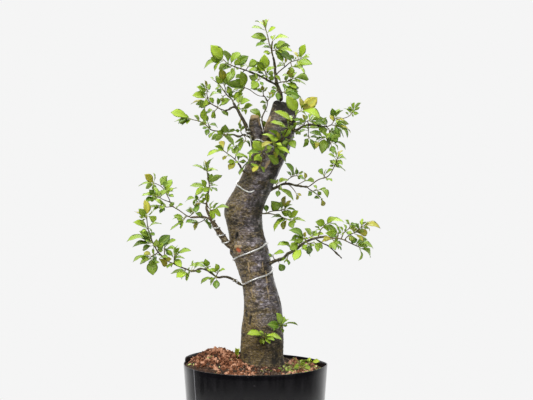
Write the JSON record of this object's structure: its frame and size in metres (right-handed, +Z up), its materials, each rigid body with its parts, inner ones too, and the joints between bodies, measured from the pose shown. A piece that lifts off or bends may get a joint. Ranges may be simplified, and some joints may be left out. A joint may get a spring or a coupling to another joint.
{
  "type": "cherry plum bonsai",
  "caption": "Leaning thick-trunked cherry plum bonsai with leafy wired branches in a round black nursery pot of soil.",
  "frame": {"origin": "centre of the pot's flat underside", "axes": "+Z up the pot's axis, the tree's front looks along -Y, +X to its right"},
  "size_m": [0.3597, 0.2219, 0.7116],
  "materials": {
    "black_plastic": "satin",
    "potting_soil": "matte",
    "trunk_bark": "matte",
    "branch_bark": "matte",
    "aluminium_wire": "satin",
    "leaf_green": "satin",
    "weed_green": "satin"
  },
  "bodies": {
    "root": {"pot": "black_plastic", "soil": "potting_soil", "trunk": "trunk_bark", "lower_wire": "aluminium_wire", "stub_wire": "aluminium_wire", "mid_wire": "aluminium_wire", "burr_branch": "branch_bark", "low_left_branch": "branch_bark", "stub_branch": "branch_bark", "upper_left_branch": "branch_bark", "left_spur": "branch_bark", "leader_branch": "branch_bark", "right_upper_branch": "branch_bark", "right_mid_branch": "branch_bark", "right_long_branch": "branch_bark", "burr_tip_shoot": "leaf_green", "burr_under_shoot": "leaf_green", "burr_left_shoot": "leaf_green", "low_left_shoot": "leaf_green", "low_left_near_shoot": "leaf_green", "low_left_upper_shoot": "leaf_green", "stub_left_shoot": "leaf_green", "stub_upper_shoot": "leaf_green", "stub_right_shoot": "leaf_green", "upper_left_shoot": "leaf_green", "upper_left_near_shoot": "leaf_green", "upper_left_base_shoot": "leaf_green", "left_spur_shoot": "leaf_green", "left_fork_shoot": "leaf_green", "leader_top_shoot": "leaf_green", "crown_left_shoot": "leaf_green", "crown_top_shoot": "leaf_green", "crown_under_shoot": "leaf_green", "crown_right_shoot": "leaf_green", "crown_low_shoot": "leaf_green", "leader_base_shoot": "leaf_green", "notch_shoot": "leaf_green", "front_upper_shoot": "leaf_green", "right_low_leaf_shoot": "leaf_green", "right_near_shoot": "leaf_green", "right_inner_shoot": "leaf_green", "right_outer_shoot": "leaf_green", "right_mid_shoot": "leaf_green", "right_fork_shoot": "leaf_green", "right_start_shoot": "leaf_green", "right_top_shoot": "leaf_green", "right_thin_shoot": "leaf_green", "right_low_shoot": "leaf_green", "long_base_shoot": "leaf_green", "long_near_shoot": "leaf_green", "long_big_shoot": "leaf_green", "long_top_shoot": "leaf_green", "long_rise_shoot": "leaf_green", "long_end_shoot": "leaf_green", "trunk_left_shoot": "leaf_green", "trunk_middle_shoot": "leaf_green", "base_front_shoot": "leaf_green", "base_side_shoot": "leaf_green", "left_weed": "weed_green", "right_weed": "weed_green"}
  },
  "joints": []
}
